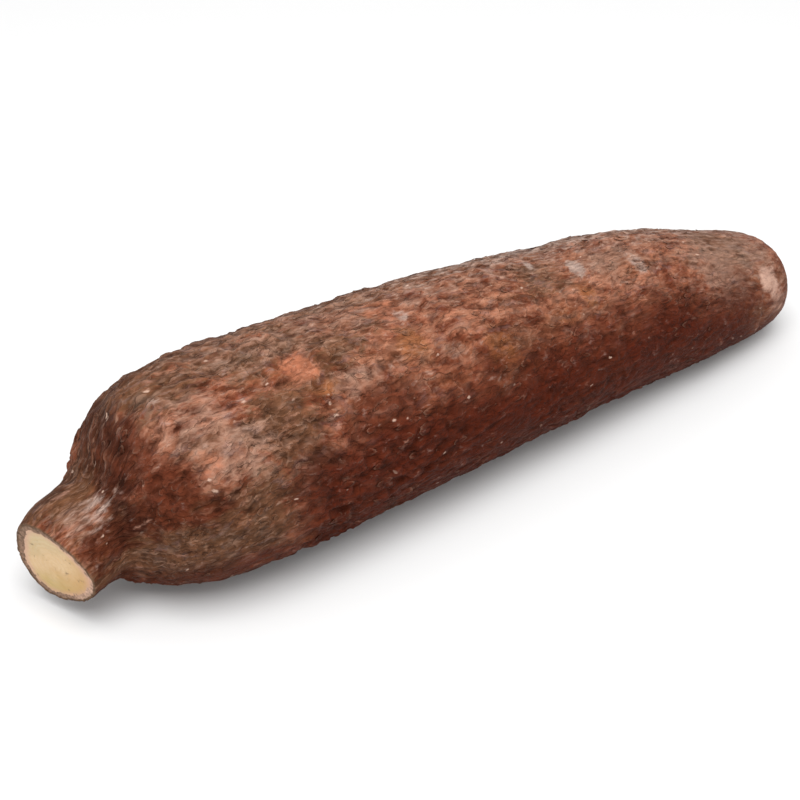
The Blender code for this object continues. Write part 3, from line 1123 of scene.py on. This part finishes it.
@dataclass(frozen=True)
class BarkFinish:
    """Cassava bark: a paper-thin, dry, dark outer skin that peels in layers as the root swells.

    What that gives the eye: thin sheets drawn out along the root, each with a painted shadow under its edge
    and a paler lip, partly dried skin and partly painted highlight; a dull surface with a faint waxy sheen;
    soft blotches of salmon, ochre, grey and red-brown where the layers beneath, or what lies on them, show;
    pale strokes that are painted glints, pale specks that are partly painted glints, and a painted sheen on
    what faces up; and painted shade in the hollows, in the neck's crease, along the far side, low along the
    body and over the underside.
    """

    name: str = "cassava_bark"
    dark: str = "#54291a"
    light: str = "#7a4b37"
    dull: str = "#483222"
    # painted shadow, under the sheets' edges and in the hollows
    painted_shadow: str = "#240d07"
    # pale edges, partly dried skin and partly painted highlight: the lips, the pale strokes and the flakes'
    # rims
    curl: str = "#a98672"
    scuff: str = "#86523c"
    ochre: str = "#76482a"
    wax: str = "#85756d"
    dry: str = "#785c4e"
    red: str = "#411b0f"
    # nearly black: soil stain and painted shade
    soil_and_shade: str = "#27110b"
    scar: str = "#9d7d6e"
    tan: str = "#875b47"
    # the painted shade of the underside
    underside_shade: str = "#381208"
    grey: str = "#665950"
    lilac: str = "#6f5f61"
    inner: str = "#5a4535"
    cortex: str = "#b0917e"
    speck: str = "#c8aa98"
    sheen: str = "#e6a984"          # of the thin brown skin's own gloss
    ior: float = 1.45
    gloss: float = 0.1              # a fifth of a polished surface's: the skin is mealy
    roughness: tuple = (0.50, 0.80)
    sheet: Noise = Noise(14.0, 6.5, salt=3.1)    # the noise whose contours are the sheets' edges
    sheet_steps: float = 5.0
    flake: Noise = Noise(6.0, 2.8, salt=9.7)
    flake_steps: float = 3.4
    scale: Noise = Noise(2.6, 1.2, 0)             # cells, each of its own shade
    spot: Noise = Noise(4.5, 2.8, 0)              # cells, in the hearts of a few of which are pale specks, partly painted glints
    layer_fade: float = 0.62        # a layer of noise's strength, over that of the layer before
    sway_mm: tuple = (3.5, 2.4)     # the grain and twice the reach of the noise that sways every edge
    shade_range: tuple = (0.44, 1.06, 1.66)       # darkest, and brightest before and after it is stretched
    young_shade: float = 1.05       # which the young skin's shade is drawn towards

    def material(self) -> bpy.types.Material:
        """Makes the material.

        Returns:
            The material. It reads the bark's point attributes.
        """
        material, tree, shader = new_material(self.name)
        place = self._swayed(tree)
        noise = {name: self._pattern(tree, place, grain).outputs["Fac"]
                 for name, grain in BARK_NOISES.items()}
        channel = {name: add_node(tree, "Attribute", attribute_name=name).outputs["Fac"]
                   for name in ("tone", "young", "rim", "inner", "cortex", *(mark.value for mark in Mark))}
        scales, spots = (self._pattern(tree, place, grain, "TexVoronoi") for grain in (self.scale, self.spot))
        pick, chosen = (add_node(tree, "SeparateColor", {"Color": cells.outputs["Color"]}).outputs["Red"]
                        for cells in (scales, spots))
        spot_heart = eased(tree, spots.outputs["Distance"], 0.20, 0.08)
        sheet, sheet_foot, sheet_lip = self._shingles(tree, place, self.sheet, self.sheet_steps)
        flake, flake_foot, flake_lip = self._shingles(tree, place, self.flake, self.flake_steps)
        # the red skin and the painted underside shade, where pale lips and glints are held back
        red_and_shaded = summed(tree, [(channel["underside_shade"], 1.0), (channel["red"], 0.8)])
        exposed = eased(tree, red_and_shaded, 0.85, 0.15)

        def mark(kind: Mark, broken_by: str, top: float) -> Socket:
            """A mark's cover, broken up by a noise: where that is low, the mark shows only at its heart."""
            lifted = summed(tree, [(noise[broken_by], 1.5)], channel[kind.value])
            return eased(tree, lifted, 0.90, 1.52, top)

        def rise(name: str, low: float, high: float, top: float = 1.0) -> Socket:
            """A noise eased from 0 where it is low to top where it is high."""
            return eased(tree, noise[name], low, high, top)

        # painted glints: pale strokes where the curl noise is high
        painted_glints, hollow_shade = rise("curl", 0.58, 0.74), rise("gap", 0.42, 0.28)
        colour = coats(tree, linear(self.dark), [
            (rise("mottle", 0.34, 0.66), self.light),
            (rise("blotch", 0.45, 0.70, 0.55), self.dull),
            (rise("ochre_blotch", 0.50, 0.74, 0.28), self.ochre),
            (rise("red_blotch", 0.48, 0.74, 0.45), self.red),
            (mark(Mark.TAN, "mottle", 0.75), self.tan),
            (mark(Mark.OCHRE, "mottle", 0.70), self.ochre),
            (mark(Mark.DULL, "fibre", 0.75), self.dull),
            (mark(Mark.DRY, "ridge", 0.70), self.dry),
            (rise("grey", 0.50, 0.68, 0.24), self.grey),
            (rise("lilac", 0.54, 0.70, 0.20), self.lilac),
            (mark(Mark.RED, "mottle", 0.85), self.red),
            # painted shade over the underside and the low body
            (channel["underside_shade"], 0.92, self.underside_shade),
            # painted shade in the crease, low past the shoulder and along the far side
            (mark(Mark.SOIL_AND_SHADE, "mottle", 0.75), self.soil_and_shade),
            (mark(Mark.SCUFF, "mottle", 0.80), self.scuff),
            (mark(Mark.WAX, "ridge", 0.70), self.wax),
            (mark(Mark.SCAR, "mottle", 1.0), self.scar),
            (channel["inner"], self.inner),
            (channel["cortex"], self.cortex),
        ])
        shade = summed(tree, [
            (channel["tone"], 0.20), (pick, 0.14), (noise["grit"], 0.16), (noise["fibre"], 0.30),
            (noise["ridge"], 0.88), (sheet, 0.10), (flake, 0.12), (painted_glints, 0.14), (hollow_shade, -0.06),
        ])
        darkest, bright, brightest = self.shade_range
        shade = add_node(tree, "MapRange", {
            "Value": shade, "From Min": darkest, "From Max": bright, "To Min": darkest, "To Max": brightest})
        calm = summed(tree, [(channel["young"], 0.45)])
        shade = add_node(tree, "Mix", {0: calm, 2: shade.outputs["Result"], 3: self.young_shade}).outputs[0]
        shaded = add_node(tree, "VectorMath", {0: colour, "Scale": shade}, operation="SCALE").outputs[0]
        colour = coats(tree, shaded, [
            # pale lips and flake rims: partly dried skin, partly painted highlight
            (sheet_lip, exposed, self.curl),
            (flake_lip, exposed, self.curl),
            (exposed, 0.22, painted_glints, self.curl),
            (channel["rim"], 0.22, self.curl),
            # painted shade in the hollows of the gap noise
            (hollow_shade, 0.10, self.painted_shadow),
            # painted shadow under the sheets' and the flakes' edges
            (sheet_foot, self.painted_shadow),
            (flake_foot, self.painted_shadow),
            # pale specks, partly painted glints
            (spot_heart, eased(tree, chosen, 0.80, 0.95, 0.60), self.speck),
        ])
        relief = summed(tree, [
            (sheet, 0.30), (flake, 0.24), (noise["curl"], 0.70), (noise["gap"], 0.42),
            (noise["ridge"], 1.30), (noise["fibre"], 0.32), (noise["grit"], 0.12),
        ])
        strength = summed(tree, [(channel["young"], -0.40)], 0.80)
        bump = add_node(tree, "Bump", {"Height": relief, "Distance": MM, "Strength": strength})
        low, high = self.roughness
        rough = add_node(tree, "MapRange", {
            "Value": noise["grit"], "From Min": 0.3, "From Max": 0.7, "To Min": low, "To Max": high})
        give(tree, shader, {
            "Base Color": colour, "Normal": bump.outputs["Normal"], "Roughness": rough.outputs["Result"],
            "Specular IOR Level": self.gloss, "Specular Tint": linear(self.sheen), "IOR": self.ior})
        return material

    def _swayed(self, tree: Tree) -> Socket:
        """Reads the grain coordinates and sways them, so that no edge runs straight.

        Args:
            tree: the node tree.

        Returns:
            The place, in metres.
        """
        grain_mm, reach_mm = self.sway_mm
        grain = add_node(tree, "Attribute", attribute_name="grain").outputs["Vector"]
        sway = add_node(tree, "TexNoise", {
            "Vector": grain, "Scale": 1 / (grain_mm * MM), "Detail": 3.0, "Roughness": 0.6})
        inputs = {0: sway.outputs["Color"], 1: (0.5,) * 3}
        centred = add_node(tree, "VectorMath", inputs, operation="SUBTRACT").outputs[0]
        inputs = {0: centred, 1: (reach_mm * MM,) * 3, 2: grain}
        return add_node(tree, "VectorMath", inputs, operation="MULTIPLY_ADD").outputs[0]

    def _pattern(self, tree: Tree, place: Socket, grain: Noise, kind: str = "TexNoise") -> Node:
        """Adds a texture, which counts the place in its grain's own steps.

        Args:
            tree: the node tree.
            place: where it is read.
            grain: its grain.
            kind: noise or cells.

        Returns:
            The texture.
        """
        along, around = 1 / (grain.along_mm * MM), 1 / (grain.around_mm * MM)
        counted = add_node(tree, "Mapping", {
            "Vector": place, "Scale": (along, around, around), "Location": (grain.salt,) * 3})
        inputs = {"Vector": counted.outputs["Vector"], "Scale": 1.0, "Detail": grain.layers}
        return add_node(tree, kind, {**inputs, "Roughness": self.layer_fade})

    def _shingles(self, tree: Tree, place: Socket, grain: Noise, steps: float) -> tuple[Socket, ...]:
        """Overlapping sheets whose edges are the contours of noise.

        The share of the way from one contour to the next is taken from a rise that is over in its first
        part. A dark foot, a painted shadow, runs before the rise, and a pale lip, partly painted highlight,
        after it, both only here and there.

        Args:
            tree: the node tree.
            place: where the noise is read.
            grain: its grain.
            steps: how many contours it has from 0 to 1.

        Returns:
            The height from -1 to 1, and how much of the foot's painted shadow and of the pale lip there is.
        """
        counted = summed(tree, [(self._pattern(tree, place, grain).outputs["Fac"], steps)])
        share = add_node(tree, "Math", {0: counted}, operation="FRACT").outputs[0]
        height = summed(tree, [(share, -1.0)], eased(tree, share, 0.0, 0.10))
        here = self._pattern(tree, place, Noise(9.0, 5.0, 2, grain.salt + 2.0)).outputs["Fac"]
        foot = summed(tree, [(eased(tree, share, 0.76, 0.97), eased(tree, here, 0.46, 0.62, 0.38))])
        below = summed(tree, [(eased(tree, share, 0.40, 0.16), eased(tree, share, 0.05, 0.10))])
        lip = summed(tree, [(below, eased(tree, here, 0.52, 0.36, 0.17))])
        return height, foot, lip


@dataclass(frozen=True)
class CutWoodFinish:
    """Cassava stem wood, cut across with a knife and left to dry.

    What that gives the eye: a dull, pale tan face with faint rings and short fibres, stained grey, olive and
    tan towards three sides, a browner rim where it has dried first, and a few dark checks.
    """

    name: str = "cut_cassava_wood"
    pale: str = "#ccae86"
    tan: str = "#b98f58"
    olive: str = "#ab9451"
    grey: str = "#b5a986"
    rim: str = "#c09580"
    check: str = "#4f4028"
    ior: float = 1.5
    roughness: float = 0.75
    ring_mm: float = 1.7
    # the noises' grain in millimetres, detail and roughness
    cloud: tuple = (7.0, 3.0, 0.5)
    fibre: tuple = (0.8, 4.0, 0.65)
    checks: tuple = (3.0, 5.0, 0.7)

    def material(self) -> bpy.types.Material:
        """Makes the material.

        Returns:
            The material. It reads the plug's point attributes.
        """
        material, tree, shader = new_material(self.name)
        disc = add_node(tree, "Attribute", attribute_name="disc").outputs["Vector"]
        outward = add_node(tree, "Attribute", attribute_name="outward").outputs["Fac"]
        place = add_node(tree, "SeparateXYZ", {0: disc})
        cloud, fibre, checks = (
            add_node(tree, "TexNoise", {
                "Vector": disc, "Scale": 1 / (grain_mm * MM), "Detail": detail, "Roughness": rough,
            }).outputs["Fac"]
            for grain_mm, detail, rough in (self.cloud, self.fibre, self.checks)
        )
        # at a scale of 1 this texture's rings are 2 pi / 20 apart, so here they are within 2% of ring_mm
        rings = add_node(tree, "TexWave", {
            "Vector": disc, "Scale": 1 / (math.pi * self.ring_mm * MM), "Distortion": 6.0, "Detail": 3.0,
            "Detail Scale": 1.5}, wave_type="RINGS", rings_direction="SPHERICAL").outputs["Fac"]

        def stain(right: float, up: float, ragged: float, low: float, high: float, top: float) -> Socket:
            """A stain that deepens one way across the cut, with a ragged front, in millimetres."""
            parts = [(place.outputs["X"], right), (place.outputs["Y"], up), (cloud, ragged * MM)]
            return eased(tree, summed(tree, parts), low * MM, high * MM, top)

        colour = coats(tree, linear(self.pale), [
            (eased(tree, cloud, 0.45, 0.75, 0.5), self.tan),
            (stain(-0.3, 0.6, 8, 5, 10, 0.50), self.grey),
            (stain(0.1, -0.8, 6, 4, 11, 0.75), self.olive),
            (stain(0.8, -0.5, 6, 4, 12, 0.60), self.tan),
            (eased(tree, rings, 0.2, 0.9, 0.12), self.tan),
            (eased(tree, fibre, 0.5, 0.8, 0.5), self.tan),
            (eased(tree, checks, 0.59, 0.68, 0.65), self.check),
            (eased(tree, outward, 0.72, 0.97, 0.80), self.rim),
        ])
        relief = summed(tree, [(fibre, 0.22), (rings, 0.06), (checks, -0.1)])
        bump = add_node(tree, "Bump", {"Height": relief, "Distance": MM, "Strength": 0.8})
        give(tree, shader, {"Base Color": colour, "Normal": bump.outputs["Normal"],
                            "Roughness": self.roughness, "IOR": self.ior})
        return material


@dataclass(frozen=True)
class OpalTableFinish:
    """Opal acrylic, cast and lightly sanded, lit a little from below as a product table is.

    What that gives the eye: an even white ground, on which a shadow stays soft and pale.
    """

    name: str = "opal_acrylic"
    near: str = "#cecece"
    far: str = "#f4f4f4"          # the table pales with distance, so that it meets the white room
    light: str = "#ffffff"
    glow: float = 0.03
    gloss: float = 0.1
    roughness: float = 0.9
    near_mm: float = 450.0
    far_mm: float = 1500.0
    haze_mm: float = 40.0

    def material(self) -> bpy.types.Material:
        """Makes the material.

        Returns:
            The material.
        """
        material, tree, shader = new_material(self.name)
        place = add_node(tree, "TexCoord").outputs["Object"]
        haze = add_node(tree, "TexNoise", {"Vector": place, "Scale": 1 / (self.haze_mm * MM), "Detail": 2.0})
        distance = add_node(tree, "VectorMath", {0: place}, operation="LENGTH").outputs["Value"]
        hazy = summed(tree, [(haze.outputs["Fac"], self.haze_mm * MM)], distance)
        paled = eased(tree, hazy, self.near_mm * MM, self.far_mm * MM)
        give(tree, shader, {
            "Base Color": coats(tree, linear(self.near), [(paled, self.far)]),
            "Emission Color": linear(self.light), "Emission Strength": self.glow,
            "Roughness": self.roughness, "Specular IOR Level": self.gloss})
        return material


# ---- the studio


@dataclass
class Studio:
    """An opal table, a big soft lamp overhead in a white room, and the camera."""

    table_m: float = 6.0
    table_points: int = 9         # along each side
    room: str = "#ffffff"
    lamp_at: tuple = (-0.32, -0.42, 1.15)
    lamp_size: float = 0.9
    lamp_power: float = 17.0
    lens_mm: float = 85.5
    azimuth_deg: float = -37.8    # where the camera stands round the root, from -Y
    elevation_deg: float = 33.0
    distance: float = 0.6044
    aim: tuple = (0.00095, 0.02594, 0.00558)   # from the origin, on the ground under the root's middle

    def build(self) -> None:
        """Makes the floor, the lights and the camera."""
        self._floor()
        self._world()
        lamp = bpy.data.lights.new("overhead", "AREA")
        lamp.shape, lamp.size, lamp.energy = "SQUARE", self.lamp_size, self.lamp_power
        self._aimed(lamp, Vector(self.lamp_at), Vector(self.lamp_at))
        lens = bpy.data.cameras.new("camera")
        lens.lens = self.lens_mm
        turn, rise = math.radians(self.azimuth_deg), math.radians(self.elevation_deg)
        back = Vector((math.sin(turn) * math.cos(rise), -math.cos(turn) * math.cos(rise), math.sin(rise)))
        bpy.context.scene.camera = self._aimed(lens, Vector(self.aim) + back * self.distance, back)
        bpy.context.scene.view_settings.view_transform = "Standard"

    def _floor(self) -> None:
        """The table that the root lies on."""
        edge = np.linspace(-self.table_m / 2, self.table_m / 2, self.table_points)
        x, y = np.meshgrid(edge, edge, indexing="ij")
        points = np.stack([x, y, np.full_like(x, LOW[2])], axis=-1).reshape(-1, 3)
        faces = grid_faces(self.table_points, self.table_points, around=False)[:, ::-1]
        floor = mesh_object("opal_table", points, [faces], {})
        floor.data.materials.append(OpalTableFinish().material())

    def _world(self) -> None:
        """Even white light from all round."""
        world = bpy.data.worlds.new("white_room")
        bpy.context.scene.world = world
        world.use_nodes = True
        tree = world.node_tree
        give(tree, tree.nodes["Background"], {"Color": linear(self.room), "Strength": 1.0})

    def _aimed(self, thing: bpy.types.ID, place: Vector, back: Vector) -> bpy.types.Object:
        """Puts a lamp or a camera in the scene.

        Args:
            thing: the lamp or the camera.
            place: where it stands.
            back: the way that it looks away from.

        Returns:
            Its object.
        """
        item = bpy.data.objects.new(thing.name, thing)
        item.location = place
        item.rotation_euler = (-back).to_track_quat("-Z", "Y").to_euler()
        bpy.context.scene.collection.objects.link(item)
        return item


# ---- putting it together


def dress(piece: Piece, material: bpy.types.Material) -> None:
    """Gives a piece its material and its body, and logs it.

    Args:
        piece: the piece.
        material: its finish.
    """
    piece.data.materials.append(material)
    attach(piece, "root")
    triangles = sum(len(face.vertices) - 2 for face in piece.data.polygons)
    LOG.info("%s: %d vertices, %d triangles", piece.name, len(piece.data.vertices), triangles)


def main() -> None:
    """Builds the root's pieces and the studio."""
    logging.basicConfig(level=logging.INFO, format="%(name)s %(message)s")
    bark = Bark(RootForm())
    skin = bark.build()
    bark_material = BarkFinish().material()
    dress(skin, bark_material)
    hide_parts(ROOT_NODE)
    dress(LiftedFlakes(bark).build(), bark_material)
    dress(CutWood(bark).build(), CutWoodFinish().material())
    Studio().build()


if __name__ == "__main__":
    main()
